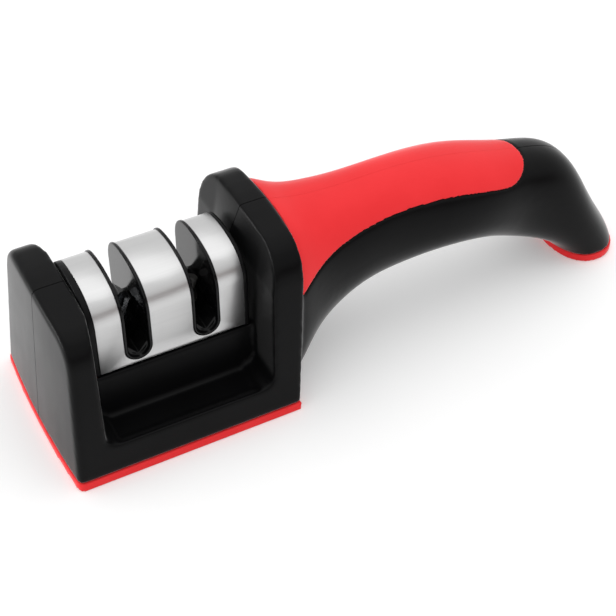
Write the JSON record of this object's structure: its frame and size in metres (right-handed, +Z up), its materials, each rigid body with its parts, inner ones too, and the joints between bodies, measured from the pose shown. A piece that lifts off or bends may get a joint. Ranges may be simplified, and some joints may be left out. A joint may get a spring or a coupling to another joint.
{
  "type": "two-slot hand-held knife sharpener",
  "caption": "Hand-held pull-through knife sharpener: black body, steel-clad lift-out head with knife slots, arched handle with soft red grip and non-slip feet.",
  "frame": {"origin": "under the middle of the whole object, on the surface it stands on", "axes": "+X from the sharpening end towards the tail of the handle, -Y the front, +Z up"},
  "size_m": [0.204, 0.0624, 0.0586],
  "materials": {
    "black_plastic": "black moulded ABS, fine spark-eroded grain, satin",
    "core_plastic": "black moulded ABS, smoother, semi-gloss",
    "liner_plastic": "black acetal slot lining, polished guide faces",
    "red_soft": "red thermoplastic elastomer, soft satin",
    "brushed_cover": "brushed stainless sheet, grain across the slots",
    "carbide": "ground tungsten carbide",
    "ceramic": "dark fine ceramic",
    "screw_steel": "zinc-plated screws"
  },
  "bodies": {
    "body": {"front_shell": "black_plastic", "rear_shell": "black_plastic", "front_grip": "red_soft", "rear_grip": "red_soft", "bottom_plate": "core_plastic", "base_pad": "red_soft", "tail_foot": "red_soft", "bottom_screws": "screw_steel", "side_screws": "screw_steel"},
    "head": {"steel_cover": "brushed_cover", "head_core": "core_plastic", "coarse_slot_liner": "liner_plastic", "fine_slot_liner": "liner_plastic", "carbide_blade_front": "carbide", "carbide_blade_rear": "carbide", "ceramic_rod_front": "ceramic", "ceramic_rod_rear": "ceramic", "blade_holder": "core_plastic", "rod_holder": "core_plastic", "head_plate": "core_plastic", "head_plate_screws": "screw_steel", "holder_screws": "screw_steel"}
  },
  "joints": [
    {"name": "head_lift", "type": "slide", "parent": "body", "child": "head", "axis": [0, 0, 1], "range_m": [0, 0.044]}
  ]
}
